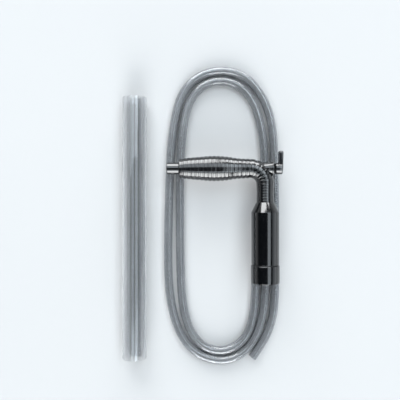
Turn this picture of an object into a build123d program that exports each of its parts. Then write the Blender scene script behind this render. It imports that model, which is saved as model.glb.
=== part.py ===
"""Gravel vacuum siphon for an aquarium: a clear gravel tube, a pistol-shaped handpiece and a loose hose.

Everything lies flat on a table, in millimetres. +Z is up from the table, +Y runs along the gravel tube and
+X goes from the tube to the handpiece. The origin is on the table, at the middle of the box round the tube
and the handpiece. The handpiece lies over the hose, so its two axes are in one plane above the table: the
grip's axis runs along X, and the chamber's axis runs along Y.
"""

import os
from math import cos, degrees, pi, radians, sin, sqrt

from build123d import *

os.makedirs("parts", exist_ok=True)

# ---------------------------------------------------------------- driving dimensions
tube_length = 291.0
tube_r = 13.5
tube_wall = 1.2

hose_od = 9.5
hose_bore = 7.0

grip_y = 65.5  # the grip's axis
chamber_x = 69.5  # the chamber's axis
collar_r = 15.8
hose_gap = 0.25
axis_height = hose_od + hose_gap + collar_r

spigot_end_x = -38.5
grip_start_x = -25.5
elbow_bend_r = 17.0
elbow_r = 9.7
chamber_r = 15.25
chamber_bore_r = 12.9
chamber_top_y = 28.3
shoulder_y = 17.5
chamber_end_y = -39.6
collar_end_y = -60.0

running_gap = 0.05
body_gap = 0.3
seal_r = 0.6  # section radius of every O-ring
seal_groove_width = 2.6 * seal_r
seal_groove_reach = 4 * seal_r  # twice the depth of an O-ring's groove

# ---------------------------------------------------------------- places worked out from them
knob_tip_x = 88.9
tube_x = tube_r - knob_tip_x
elbow_x = chamber_x - elbow_bend_r
elbow_y = grip_y - elbow_bend_r

head = Plane.XY.offset(axis_height)
grip_axis = Axis((0, grip_y, axis_height), (1, 0, 0))
chamber_axis = Axis((chamber_x, 0, axis_height), (0, 1, 0))


def across_grip(x):
    """The plane across the grip's axis at x, facing +X, centred on the axis."""
    return Plane(origin=(x, grip_y, axis_height), x_dir=(0, 1, 0), z_dir=(1, 0, 0))


def across_chamber(y):
    """The plane across the chamber's axis at y, facing +Y, centred on the axis."""
    return Plane(origin=(chamber_x, y, axis_height), x_dir=(1, 0, 0), z_dir=(0, 1, 0))


def finish(piece, name):
    """Labels a finished piece and writes it to the parts folder."""
    piece.part.label = name
    export_step(piece.part, f"parts/{name}.step")


# ---------------------------------------------------------------- gravel tube
with BuildPart() as gravel_tube:
    with BuildSketch(Plane(origin=(tube_x, -tube_length / 2, tube_r), z_dir=(0, 1, 0))):
        Circle(tube_r)
        Circle(tube_r - tube_wall, mode=Mode.SUBTRACT)
    extrude(amount=tube_length)
finish(gravel_tube, "gravel_tube")

# ---------------------------------------------------------------- hose
# The route's corners, from the open end at the lower right to the end that lies under the chamber.
hose_route = [
    (57.5, -148.0),
    (70.0, -130.5),
    (79.0, -110.0),
    (83.0, -87.5),
    (83.5, -48.5),
    (83.5, 14.0),
    (82.5, 76.5),
    (81.0, 109.5),
    (75.0, 137.0),
    (61.5, 161.0),
    (43.5, 175.0),
    (20.0, 179.0),
    (-3.5, 172.5),
    (-21.5, 155.0),
    (-30.5, 126.5),
    (-35.5, 88.0),
    (-37.5, 25.5),
    (-38.5, -39.5),
    (-37.0, -73.5),
    (-31.0, -105.5),
    (-19.0, -132.0),
    (0.5, -147.5),
    (24.0, -152.5),
    (45.0, -145.5),
    (59.5, -129.0),
    (68.5, -106.5),
    (72.0, -80.5),
    (72.5, -39.5),
    (72.5, 19.5),
    (71.5, 79.0),
    (69.0, 109.5),
    (61.5, 138.0),
    (47.5, 158.5),
    (26.0, 167.5),
    (3.0, 163.5),
    (-13.0, 146.5),
    (-21.0, 120.0),
    (-24.5, 79.0),
    (-25.0, 17.5),
    (-24.5, -39.5),
    (-23.5, -69.0),
    (-20.5, -96.5),
    (-12.5, -120.5),
    (3.5, -137.5),
    (23.5, -141.5),
    (41.5, -134.5),
    (53.5, -120.0),
    (59.5, -97.5),
    (61.0, -70.5),
    (61.5, -44.0),
    (61.0, -19.0),
]
hose_points = [Vector(x, y, hose_od / 2) for x, y in hose_route]
arc_share = 0.45  # of the shorter run beside a corner


def corner_radius(before, corner, after):
    """The largest arc that the two runs beside a corner leave room for."""
    turn = radians((corner - before).get_angle(after - corner))
    shorter = min((corner - before).length, (after - corner).length)
    return arc_share * shorter / ((1 - cos(turn)) / sin(turn))


hose_radii = [corner_radius(*hose_points[i : i + 3]) for i in range(len(hose_points) - 2)]
with BuildPart() as siphon_hose:
    with BuildLine() as hose_line:
        FilletPolyline(*hose_points, radius=hose_radii)
    with BuildSketch(Plane(origin=hose_line.line @ 0, z_dir=hose_line.line % 0)):
        Circle(hose_od / 2)
        Circle(hose_bore / 2, mode=Mode.SUBTRACT)
    sweep()
finish(siphon_hose, "siphon_hose")
hose_length = hose_line.wire().length
hose_volume = pi * (hose_od**2 - hose_bore**2) / 4 * hose_length
print("hose length", round(hose_length, 1), "tightest radius", round(min(hose_radii), 1))
print("hose volume over section times length", round(siphon_hose.part.volume / hose_volume, 4))

# ---------------------------------------------------------------- handle: ribbed grip, elbow and neck
rib_pitch = 4.5
rib_width = 3.0
elbow_rib_width = 1.9
rib_height = 1.0
neck_r = 9.6
waist_r = 9.3
neck_rib_pitch = 3.0
neck_rib_width = 1.6
neck_rib_height = 0.5
flow_r = 4.5
grip_wall = 2.2
hollow_start_x = -11.0
hollow_end_x = 50.0
valve_r = 5.6
barrel_r = 6.9
barrel_start_x = 57.0
barrel_end_x = 76.6
valve_start_x = 59.0
bonnet_start_x = 74.6
bonnet_r = 8.05
stop_pin_x = 72.8
stop_pin_r = 1.0
spigot_plug_r = 6.0
spigot_plug_end_x = -15.5
neck_plug_r = 8.4
neck_plug_end_y = 20.5
grip_outline = [  # places along the grip's axis and the rib tops' radius there
    (grip_start_x, 9.8),
    (-16.0, 11.6),
    (-2.0, 13.0),
    (12.0, 14.0),
    (26.0, 13.35),
    (39.0, 11.5),
    (elbow_x, elbow_r + rib_height),
]
rib_reach = 20.0  # beyond every rib top


def grip_sketch(drop):
    """The grip's half outline, drop below the rib tops, on the plane of the two axes."""
    curve = [(x, grip_y + r - drop) for x, r in grip_outline]
    with BuildSketch(head) as outline:
        with BuildLine():
            Spline(*curve)
            Polyline(curve[-1], (elbow_x, grip_y), (grip_start_x, grip_y), curve[0])
        make_face()
    return outline.sketch


groove_width = rib_pitch - rib_width
groove_count = int((elbow_x - grip_start_x) / rib_pitch)
groove_mid_x = grip_start_x + rib_pitch * groove_count / 2
elbow_rib_count = 5
elbow_rib_step = 90 / elbow_rib_count
elbow_rib_r = 10.4
neck_groove_count = int((elbow_y - chamber_top_y) / neck_rib_pitch)
neck_groove_start_y = chamber_top_y + 2.6
neck_groove_mid_y = neck_groove_start_y + neck_rib_pitch * (neck_groove_count - 1) / 2
neck_groove_reach = 2 * (neck_rib_height + neck_r - waist_r)


def elbow_plane(angle):
    """The plane across the elbow, angle degrees round its bend from the grip's end."""
    turn = radians(90 - angle)
    place = (elbow_x + elbow_bend_r * cos(turn), elbow_y + elbow_bend_r * sin(turn), axis_height)
    return Plane(origin=place, z_dir=(sin(turn), -cos(turn), 0))


with BuildPart() as grip_handle:
    # the ribs, as discs cut from the grip's outline, then the core that joins them
    with BuildSketch(head):
        add(grip_sketch(0))
        with Locations((groove_mid_x, grip_y + rib_reach / 2)):
            with GridLocations(rib_pitch, 1, groove_count, 1):
                Rectangle(groove_width, rib_reach, mode=Mode.SUBTRACT)
    revolve(axis=grip_axis)
    with BuildSketch(head):
        add(grip_sketch(rib_height))
    revolve(axis=grip_axis)
    # the elbow
    with BuildSketch(across_grip(elbow_x)):
        Circle(elbow_r)
    revolve(axis=Axis((elbow_x, elbow_y, 0), (0, 0, -1)), revolution_arc=90)
    with Locations(*[elbow_plane(elbow_rib_step * (i + 0.5)) for i in range(elbow_rib_count)]):
        Cylinder(elbow_rib_r, elbow_rib_width)
    # the neck, with its finer ribs and the plug that the chamber's throat takes
    with BuildSketch(head):
        with BuildLine():
            Spline(
                (chamber_x + elbow_r, elbow_y),
                (chamber_x + waist_r, (elbow_y + chamber_top_y) / 2),
                (chamber_x + neck_r, chamber_top_y),
            )
            Polyline(
                (chamber_x + neck_r, chamber_top_y),
                (chamber_x + neck_plug_r, chamber_top_y),
                (chamber_x + neck_plug_r, neck_plug_end_y),
                (chamber_x, neck_plug_end_y),
                (chamber_x, elbow_y),
                (chamber_x + elbow_r, elbow_y),
            )
        make_face()
    revolve(axis=chamber_axis)
    with BuildSketch(head):
        with Locations((chamber_x + neck_r, neck_groove_mid_y)):
            with GridLocations(1, neck_rib_pitch, 1, neck_groove_count):
                Rectangle(neck_groove_reach, neck_rib_pitch - neck_rib_width)
    revolve(axis=chamber_axis, mode=Mode.SUBTRACT)
    # the regulator's barrel
    with BuildSketch(across_grip(barrel_start_x)):
        Circle(barrel_r)
    extrude(amount=barrel_end_x - barrel_start_x)
    # the flat round the barrel's end, where the bonnet's flange sits
    with BuildSketch(across_grip(barrel_end_x)):
        Circle(bonnet_r + body_gap)
    extrude(amount=bonnet_r, mode=Mode.SUBTRACT)
    # the water's way: spigot socket, channel, valve bore and neck bore
    with BuildSketch(across_grip(grip_start_x)):
        Circle(spigot_plug_r)
    extrude(amount=spigot_plug_end_x - grip_start_x, mode=Mode.SUBTRACT)
    with BuildSketch(across_grip(spigot_plug_end_x)):
        Circle(flow_r)
    extrude(amount=valve_start_x - spigot_plug_end_x, mode=Mode.SUBTRACT)
    with BuildSketch(head):
        add(grip_sketch(rib_height + grip_wall))
        with Locations(((hollow_start_x + hollow_end_x) / 2, grip_y)):
            Rectangle(hollow_end_x - hollow_start_x, 4 * elbow_r, mode=Mode.INTERSECT)
    revolve(axis=grip_axis, mode=Mode.SUBTRACT)
    with BuildSketch(across_grip(valve_start_x)):
        Circle(valve_r)
    extrude(amount=barrel_end_x - valve_start_x, mode=Mode.SUBTRACT)
    with BuildSketch(across_chamber(neck_plug_end_y)):
        Circle(flow_r)
    extrude(amount=grip_y - neck_plug_end_y, mode=Mode.SUBTRACT)
    # the stop pin's hole, and grooves for the bonnet's seal and the neck's seal
    with BuildSketch(Plane(origin=(stop_pin_x, grip_y, axis_height), z_dir=(0, 0, 1))):
        Circle(stop_pin_r)
    extrude(amount=barrel_r, mode=Mode.SUBTRACT)
    with BuildSketch(head):
        with Locations((barrel_end_x, grip_y + valve_r)):
            Rectangle(2 * seal_r, 2 * seal_r)
    revolve(axis=grip_axis, mode=Mode.SUBTRACT)
    with BuildSketch(head):
        with Locations((chamber_x + neck_plug_r, (chamber_top_y + neck_plug_end_y) / 2)):
            Rectangle(seal_groove_reach, seal_groove_width)
    revolve(axis=chamber_axis, mode=Mode.SUBTRACT)
finish(grip_handle, "grip_handle")


def o_ring(axis_plane, mid_r):
    """An O-ring lying in axis_plane, its section's centre mid_r from the plane's origin."""
    with BuildPart(axis_plane) as ring:
        Torus(mid_r, seal_r)
    return ring


neck_seal = o_ring(across_chamber((chamber_top_y + neck_plug_end_y) / 2), neck_plug_r - seal_r)
finish(neck_seal, "neck_seal")

# ---------------------------------------------------------------- hose spigot
spigot_r = 6.45
hose_socket_r = hose_od / 2 + running_gap
hose_socket_depth = 14.0
spigot_flow_r = 3.5
spigot_seal_x = -19.5
rim = 0.4

with BuildPart() as hose_spigot:
    with BuildSketch(across_grip(spigot_end_x)):
        Circle(spigot_r)
    extrude(amount=grip_start_x - spigot_end_x)
    chamfer(hose_spigot.edges().filter_by(GeomType.CIRCLE).sort_by(Axis.X)[0], rim)
    with BuildSketch(across_grip(grip_start_x)):
        Circle(spigot_plug_r)
    extrude(amount=spigot_plug_end_x - grip_start_x)
    with BuildSketch(across_grip(spigot_end_x)):
        Circle(hose_socket_r)
    extrude(amount=hose_socket_depth, mode=Mode.SUBTRACT)
    with BuildSketch(across_grip(spigot_end_x)):
        Circle(spigot_flow_r)
    extrude(amount=spigot_plug_end_x - spigot_end_x, mode=Mode.SUBTRACT)
    with BuildSketch(head):
        with Locations((spigot_seal_x, grip_y + spigot_plug_r)):
            Rectangle(seal_groove_width, seal_groove_reach)
    revolve(axis=grip_axis, mode=Mode.SUBTRACT)
finish(hose_spigot, "hose_spigot")

spigot_seal = o_ring(across_grip(spigot_seal_x), spigot_plug_r - seal_r)
finish(spigot_seal, "spigot_seal")

# ---------------------------------------------------------------- flow regulator
plug_start_x = 59.3
plug_end_x = 74.3
plug_bore_r = 3.6
plug_bore_end_x = 73.0
plug_port_r = 3.0
plug_seal_x = 61.5
stem_r = 2.95
stem_end_x = 86.0
stem_seal_x = 77.6
bonnet_nose_r = 4.6
bonnet_end_x = 80.6
bonnet_flange = 1.2
knob_start_x = bonnet_end_x + body_gap
screw_head_r = 2.2
screw_head_x = 86.6
screw_head_height = 1.6
screw_head_edge = 0.6
screw_gap = 0.2
screw_shank_r = 1.2
screw_shank_x = 78.5
slot_gap = 0.3
slot_floor_r = 4.4

with BuildPart() as regulator_plug:
    with BuildSketch(across_grip(plug_start_x)):
        Circle(valve_r - running_gap)
    extrude(amount=plug_end_x - plug_start_x)
    with BuildSketch(across_grip(plug_end_x)):
        Circle(stem_r)
    extrude(amount=stem_end_x - plug_end_x)
    # the blind bore that faces the grip, and the port that faces the neck
    with BuildSketch(across_grip(plug_start_x)):
        Circle(plug_bore_r)
    extrude(amount=plug_bore_end_x - plug_start_x, mode=Mode.SUBTRACT)
    with BuildSketch(across_chamber(grip_y - valve_r)):
        Circle(plug_port_r)
    extrude(amount=valve_r, mode=Mode.SUBTRACT)
    # the quarter-turn slot for the stop pin, from the top round towards +Y
    with BuildSketch(Plane(origin=(stop_pin_x, grip_y, axis_height), x_dir=(1, 0, 0), z_dir=(0, -1, 0))):
        with Locations((0, valve_r)):
            Rectangle(2 * (stop_pin_r + slot_gap), 2 * (valve_r - slot_floor_r))
    revolve(axis=Axis((0, grip_y, axis_height), (-1, 0, 0)), revolution_arc=90, mode=Mode.SUBTRACT)
    for slot_end in (Vector(0, 0, 1), Vector(0, 1, 0)):
        slot_floor = Vector(stop_pin_x, grip_y, axis_height) + slot_end * slot_floor_r
        with BuildSketch(Plane(origin=slot_floor, z_dir=slot_end)):
            Circle(stop_pin_r + slot_gap)
        extrude(amount=valve_r - slot_floor_r, mode=Mode.SUBTRACT)
    # grooves for its two O-rings, and the screw's hole
    with BuildSketch(head):
        with Locations((plug_seal_x, grip_y + valve_r - running_gap)):
            Rectangle(seal_groove_width, seal_groove_reach)
        with Locations((stem_seal_x, grip_y + stem_r)):
            Rectangle(seal_groove_width, seal_groove_reach)
    revolve(axis=grip_axis, mode=Mode.SUBTRACT)
    with BuildSketch(across_grip(screw_shank_x)):
        Circle(screw_shank_r)
    extrude(amount=stem_end_x - screw_shank_x, mode=Mode.SUBTRACT)
finish(regulator_plug, "regulator_plug")

plug_seal = o_ring(across_grip(plug_seal_x), valve_r - running_gap - seal_r)
finish(plug_seal, "plug_seal")
stem_seal = o_ring(across_grip(stem_seal_x), stem_r - seal_r)
finish(stem_seal, "stem_seal")

with BuildPart() as regulator_bonnet:
    with BuildSketch(head):
        with BuildLine():
            Polyline(
                (bonnet_start_x, grip_y + stem_r + running_gap),
                (bonnet_start_x, grip_y + valve_r),
                (barrel_end_x, grip_y + valve_r),
                (barrel_end_x, grip_y + bonnet_r),
                (barrel_end_x + bonnet_flange, grip_y + bonnet_r),
                (bonnet_end_x, grip_y + bonnet_nose_r),
                (bonnet_end_x, grip_y + stem_r + running_gap),
                close=True,
            )
        make_face()
    revolve(axis=grip_axis)
finish(regulator_bonnet, "regulator_bonnet")

with BuildPart(across_grip(barrel_end_x - seal_r / 2)) as bonnet_seal:
    Cylinder(valve_r + seal_r, seal_r)
    Cylinder(valve_r, seal_r, mode=Mode.SUBTRACT)
finish(bonnet_seal, "bonnet_seal")

stop_pin_foot = slot_floor_r + slot_gap  # from the plug's axis
stop_pin_head_r = 1.4
stop_pin_head_height = 0.5
stop_pin_edge = 0.3

with BuildPart() as stop_pin:
    with BuildSketch(Plane(origin=(stop_pin_x, grip_y, axis_height + stop_pin_foot))):
        Circle(stop_pin_r)
    extrude(amount=barrel_r - stop_pin_foot)
    with BuildSketch(Plane(origin=(stop_pin_x, grip_y, axis_height + barrel_r))):
        Circle(stop_pin_head_r)
    extrude(amount=stop_pin_head_height)
    fillet(stop_pin.edges().group_by(Axis.Z)[-1], stop_pin_edge)
finish(stop_pin, "stop_pin")

# The lever points along the neck when the regulator is open.
hub_r = 6.3
lever_tip_y = 84.7
lever_tip_width = 13.0
lever_root_width = 8.0
lever_thickness = 4.8
lever_edge = 1.0
lever_corner_r = 2.5
lever_drop = 0.7  # from the arm's face down to the hub's

with BuildPart() as regulator_lever:
    with BuildSketch(across_grip(knob_tip_x - lever_thickness)) as arm:
        with BuildLine():
            Polyline(
                (0, lever_root_width / 2),
                (lever_tip_y - grip_y, lever_tip_width / 2),
                (lever_tip_y - grip_y, -lever_tip_width / 2),
                (0, -lever_root_width / 2),
                close=True,
            )
        make_face()
        fillet(arm.vertices().group_by(Axis.Y)[-1], lever_corner_r)
    extrude(amount=lever_thickness)
    fillet(regulator_lever.faces().sort_by(Axis.X)[-1].outer_wire().edges(), lever_edge)
    with BuildSketch(across_grip(knob_start_x)):
        Circle(hub_r)
    extrude(amount=knob_tip_x - lever_drop - knob_start_x)
    with BuildSketch(across_grip(screw_head_x)):
        Circle(screw_head_r + screw_gap)
    extrude(amount=knob_tip_x - screw_head_x, mode=Mode.SUBTRACT)
    with BuildSketch(across_grip(knob_start_x)):
        Circle(stem_r)
    extrude(amount=stem_end_x - knob_start_x, mode=Mode.SUBTRACT)
    with BuildSketch(across_grip(stem_end_x)):
        Circle(screw_shank_r)
    extrude(amount=screw_head_x - stem_end_x, mode=Mode.SUBTRACT)
finish(regulator_lever, "regulator_lever")

cross_length = 2.4
cross_width = 0.6
cross_depth = 0.9

with BuildPart() as lever_screw:
    with BuildSketch(across_grip(screw_shank_x)):
        Circle(screw_shank_r)
    extrude(amount=screw_head_x - screw_shank_x)
    with BuildSketch(across_grip(screw_head_x)):
        Circle(screw_head_r)
    extrude(amount=screw_head_height)
    fillet(lever_screw.edges().filter_by(GeomType.CIRCLE).sort_by(Axis.X)[-1], screw_head_edge)
    with BuildSketch(across_grip(screw_head_x + screw_head_height)):
        Rectangle(cross_length, cross_width)
        Rectangle(cross_width, cross_length)
    extrude(amount=-cross_depth, mode=Mode.SUBTRACT)
finish(lever_screw, "lever_screw")

# ---------------------------------------------------------------- chamber with the check valve
sleeve_r = 14.0
sleeve_end_y = -46.4
throat_end_y = 19.5
bore_top_y = 10.0
throat_lip = 0.3  # the chamber's end stands this far round the neck

with BuildPart() as chamber_body:
    with BuildSketch(head):
        with BuildLine():
            Polyline(
                (chamber_x + neck_plug_r, chamber_top_y),
                (chamber_x + neck_r + throat_lip, chamber_top_y),
                (chamber_x + chamber_r, shoulder_y),
                (chamber_x + chamber_r, chamber_end_y),
                (chamber_x + sleeve_r, chamber_end_y),
                (chamber_x + sleeve_r, sleeve_end_y),
                (chamber_x + chamber_bore_r, sleeve_end_y),
                (chamber_x + chamber_bore_r, bore_top_y),
                (chamber_x + neck_plug_r, throat_end_y),
                close=True,
            )
        make_face()
    revolve(axis=chamber_axis)
finish(chamber_body, "chamber_body")

seat_end_y = -44.5
seat_top_y = -41.0
washer_top_y = -39.5
seat_r = 6.0
seat_chamfer = 1.2
washer_r = 6.4
ball_r = 8.0
ball_travel = 5.0
ball_y = washer_top_y + sqrt(ball_r**2 - washer_r**2) + body_gap
guide_r = ball_r + body_gap
cage_ring_r = 11.0
cage_bar = 2.0
guide_width = 1.6
guide_outer_r = chamber_bore_r - 0.1
cage_stop_y = ball_y + ball_r + ball_travel + body_gap
guide_count = 4

with BuildPart() as valve_seat:
    with BuildSketch(across_chamber(seat_end_y)):
        Circle(chamber_bore_r)
        Circle(seat_r, mode=Mode.SUBTRACT)
    extrude(amount=seat_top_y - seat_end_y)
    seat_edges = valve_seat.edges().filter_by(GeomType.CIRCLE).group_by(Axis.Y)[0]
    chamfer(seat_edges.sort_by(SortBy.RADIUS)[0], seat_chamfer)
finish(valve_seat, "valve_seat")

with BuildPart() as seat_washer:
    with BuildSketch(across_chamber(seat_top_y)):
        Circle(chamber_bore_r)
        Circle(washer_r, mode=Mode.SUBTRACT)
    extrude(amount=washer_top_y - seat_top_y)
finish(seat_washer, "seat_washer")

with BuildPart(across_chamber(ball_y)) as valve_ball:
    Sphere(ball_r)
finish(valve_ball, "valve_ball")

with BuildPart() as ball_cage:
    for ring_y in (washer_top_y, cage_stop_y):
        with BuildSketch(across_chamber(ring_y)):
            Circle(chamber_bore_r)
            Circle(cage_ring_r, mode=Mode.SUBTRACT)
        extrude(amount=cage_bar)
    with BuildSketch(across_chamber(washer_top_y)):
        with PolarLocations((guide_r + guide_outer_r) / 2, guide_count):
            Rectangle(guide_outer_r - guide_r, guide_width)
    extrude(amount=cage_stop_y + cage_bar - washer_top_y)
    with BuildSketch(across_chamber(cage_stop_y)):
        Rectangle(cage_ring_r + chamber_bore_r, cage_bar)
        Rectangle(cage_bar, cage_ring_r + chamber_bore_r)
    extrude(amount=cage_bar)
finish(ball_cage, "ball_cage")

# ---------------------------------------------------------------- collar with the gravel guard
collar_top_y = chamber_end_y - 1.0
collar_top_edge = 0.5
collar_end_edge = 0.8
collar_seal_thickness = 0.8
collar_seal_r = 14.9
guard_thickness = 2.2
guard_top_y = sleeve_end_y - body_gap
guard_end_y = guard_top_y - guard_thickness
tube_socket_r = tube_r + running_gap
guard_r = sleeve_r
guard_hole_r = 1.6
petal_rings = [(10.2, 6, 0), (5.4, 4, -23)]  # middle radius, number and first angle of the curved slots
petal_width = 2.8
petal_web = 2.4  # the bar between two slots

with BuildPart() as collar_seal:
    with BuildSketch(across_chamber(chamber_end_y - collar_seal_thickness)):
        Circle(collar_seal_r)
        Circle(sleeve_r, mode=Mode.SUBTRACT)
    extrude(amount=collar_seal_thickness)
finish(collar_seal, "collar_seal")

with BuildPart() as tube_collar:
    with BuildSketch(head):
        with BuildLine():
            Polyline(
                (chamber_x + sleeve_r + running_gap, collar_top_y),
                (chamber_x + collar_r - collar_top_edge, collar_top_y),
                (chamber_x + collar_r, collar_top_y - collar_top_edge),
                (chamber_x + collar_r, collar_end_y + collar_end_edge),
                (chamber_x + collar_r - collar_end_edge, collar_end_y),
                (chamber_x + tube_socket_r, collar_end_y),
                (chamber_x + tube_socket_r, guard_end_y),
                (chamber_x + sleeve_r + running_gap, guard_end_y),
                close=True,
            )
        make_face()
    revolve(axis=chamber_axis)
finish(tube_collar, "tube_collar")


def petal(middle_r, count):
    """A curved slot, one of count that stand petal_web apart in a ring round the origin."""
    end = degrees(petal_width / 2 / middle_r)
    sweep = 360 / count - degrees((petal_width + petal_web) / middle_r)
    with BuildLine() as run:
        CenterArc((0, 0), middle_r, -end, -sweep)
    with BuildSketch() as slot:
        SlotArc(run.wire(), petal_width)
    return slot.sketch


with BuildPart() as gravel_guard:
    with BuildSketch(across_chamber(guard_end_y)):
        Circle(guard_r)
        Circle(guard_hole_r, mode=Mode.SUBTRACT)
        for petal_r, petal_count, first_angle in petal_rings:
            with PolarLocations(0, petal_count, first_angle):
                add(petal(petal_r, petal_count), mode=Mode.SUBTRACT)
    extrude(amount=guard_top_y - guard_end_y)
finish(gravel_guard, "gravel_guard")
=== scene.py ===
"""The looks of a gravel vacuum siphon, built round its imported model.

The siphon lies on a pale floor as a kit in three lots: the clear gravel tube, the black handpiece with its
ribbed grip and flow lever, and the vinyl hose coiled flat under the handpiece. Everything is in metres in the
model's own frame: +Z up, +Y along the gravel tube, +X from the tube towards the handpiece.
"""

import sys
import logging
from dataclasses import dataclass, field
from enum import Enum
from math import acos, cos, pi, radians, sin, tan, tau
from typing import Sequence, Union

import bmesh
import bpy
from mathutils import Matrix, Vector


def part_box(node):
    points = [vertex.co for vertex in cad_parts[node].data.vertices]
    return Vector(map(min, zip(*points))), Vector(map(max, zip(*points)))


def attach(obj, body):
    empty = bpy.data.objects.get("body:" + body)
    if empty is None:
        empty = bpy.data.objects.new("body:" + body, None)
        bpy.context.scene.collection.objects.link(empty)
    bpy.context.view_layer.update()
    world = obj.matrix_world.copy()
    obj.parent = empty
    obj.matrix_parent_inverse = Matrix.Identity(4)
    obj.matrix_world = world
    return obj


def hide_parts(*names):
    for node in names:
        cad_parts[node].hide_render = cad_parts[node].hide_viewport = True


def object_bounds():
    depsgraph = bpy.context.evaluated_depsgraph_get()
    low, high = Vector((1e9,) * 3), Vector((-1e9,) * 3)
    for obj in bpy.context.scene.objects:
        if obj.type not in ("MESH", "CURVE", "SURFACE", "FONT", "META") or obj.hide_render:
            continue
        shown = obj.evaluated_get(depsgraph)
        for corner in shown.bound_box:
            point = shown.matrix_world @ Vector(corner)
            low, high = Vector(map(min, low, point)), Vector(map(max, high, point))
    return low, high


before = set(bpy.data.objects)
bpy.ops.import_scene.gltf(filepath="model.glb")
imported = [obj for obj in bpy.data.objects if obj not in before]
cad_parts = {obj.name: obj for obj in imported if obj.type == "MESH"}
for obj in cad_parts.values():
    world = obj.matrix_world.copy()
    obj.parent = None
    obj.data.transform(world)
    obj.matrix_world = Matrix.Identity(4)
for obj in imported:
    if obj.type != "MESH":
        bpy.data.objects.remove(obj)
cad_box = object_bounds()

MM = 0.001
MICRON = 0.000001
Material = bpy.types.Material
Mesh = bpy.types.Mesh
Piece = bpy.types.Object
Socket = bpy.types.NodeSocket
Outline = list[tuple[float, float]]
Colour = tuple[float, float, float, float]


class Body(Enum):
    """The bodies that the pieces ride on."""

    MAIN = "root"
    REGULATOR = "regulator"
    COLLAR = "guard_collar"
    TUBE = "loose_tube"


class Slot(Enum):
    """Names for material slots."""

    CLEAR_TUBE = "clear_tube"
    HOSE_VINYL = "hose_vinyl"
    BLACK_PLASTIC = "black_plastic"
    RIBBED_BLACK = "ribbed_black"
    LEVER_BLACK = "lever_black"
    SEAL_RUBBER = "seal_rubber"
    GUARD_PLASTIC = "guard_plastic"
    SCREW_STEEL = "screw_steel"


class Work(Enum):
    """What a tool does to the piece that it meets."""

    CUT = "DIFFERENCE"
    JOIN = "UNION"


# ---------------------------------------------------------------- node trees written as expressions
class Num:
    """A number socket, so that an expression on it adds its Math nodes."""

    def __init__(self, graph: "Graph", socket: Socket) -> None:
        """Wraps a socket of a graph."""
        self.graph = graph
        self.socket = socket

    def maths(self, operation: str, *values: "Input") -> "Num":
        """Adds one Math node on these values and gives its result."""
        node = self.graph.node("ShaderNodeMath", {"operation": operation}, dict(enumerate(values)))
        return Num(self.graph, node.outputs[0])

    def __add__(self, other: "Input") -> "Num":
        """self + other."""
        return self.maths("ADD", self, other)

    def __sub__(self, other: "Input") -> "Num":
        """self - other."""
        return self.maths("SUBTRACT", self, other)

    def __rsub__(self, other: "Input") -> "Num":
        """other - self."""
        return self.maths("SUBTRACT", other, self)

    def __mul__(self, other: "Input") -> "Num":
        """self * other."""
        return self.maths("MULTIPLY", self, other)

    def __truediv__(self, other: "Input") -> "Num":
        """self / other."""
        return self.maths("DIVIDE", self, other)

    def __rtruediv__(self, other: "Input") -> "Num":
        """other / self."""
        return self.maths("DIVIDE", other, self)

    __radd__ = __add__

    def size(self) -> "Num":
        """The value without its sign."""
        return self.maths("ABSOLUTE", self)

    def fraction(self) -> "Num":
        """What is left of the value past its whole part."""
        return self.maths("FRACT", self)

    def root(self) -> "Num":
        """The square root."""
        return self.maths("SQRT", self)

    def within(self, low: float = 0.0, high: float = 1.0) -> "Num":
        """The value, kept from low to high."""
        return self.maths("MINIMUM", self.maths("MAXIMUM", self, low), high)

    def rise(self, low: "Input", high: "Input") -> "Num":
        """0 below low and 1 above high, with a smooth step between."""
        node = self.graph.node(
            "ShaderNodeMapRange", {"interpolation_type": "SMOOTHSTEP"}, {0: self, 1: low, 2: high}
        )
        return Num(self.graph, node.outputs[0])


Input = Union[float, int, bool, str, Sequence[float], Socket, bpy.types.ID, Num]


class Graph:
    """Writes nodes into a node tree."""

    def __init__(self, tree: bpy.types.NodeTree) -> None:
        """Wraps a tree."""
        self.tree = tree

    def put(self, socket: Socket, value: Input) -> None:
        """Links a socket to another, or gives it a value of its own."""
        value = value.socket if isinstance(value, Num) else value
        if isinstance(value, Socket):
            self.tree.links.new(value, socket)
        else:
            socket.default_value = value

    def node(self, kind: str, settings: dict | None = None, sockets: dict | None = None) -> bpy.types.Node:
        """Adds a node.

        Args:
            kind: the node's type.
            settings: what it is set to before its sockets. "bends" holds the points of a curve.
            sockets: values or links, by the socket's name or number.

        Returns:
            The node.
        """
        made = self.tree.nodes.new(kind)
        for name, value in (settings or {}).items():
            if name == "bends":
                self._fill_curve(made.mapping, value)
            else:
                setattr(made, name, value)
        for key, value in (sockets or {}).items():
            self.put(made.inputs[key], value)
        return made

    @staticmethod
    def _fill_curve(mapping: bpy.types.CurveMapping, bends: Outline) -> None:
        """Runs a curve through these points."""
        curve = mapping.curves[0]
        while len(curve.points) < len(bends):
            curve.points.new(0.5, 0.5)
        for point, place in zip(curve.points, bends):
            point.location = place
        mapping.update()


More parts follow.
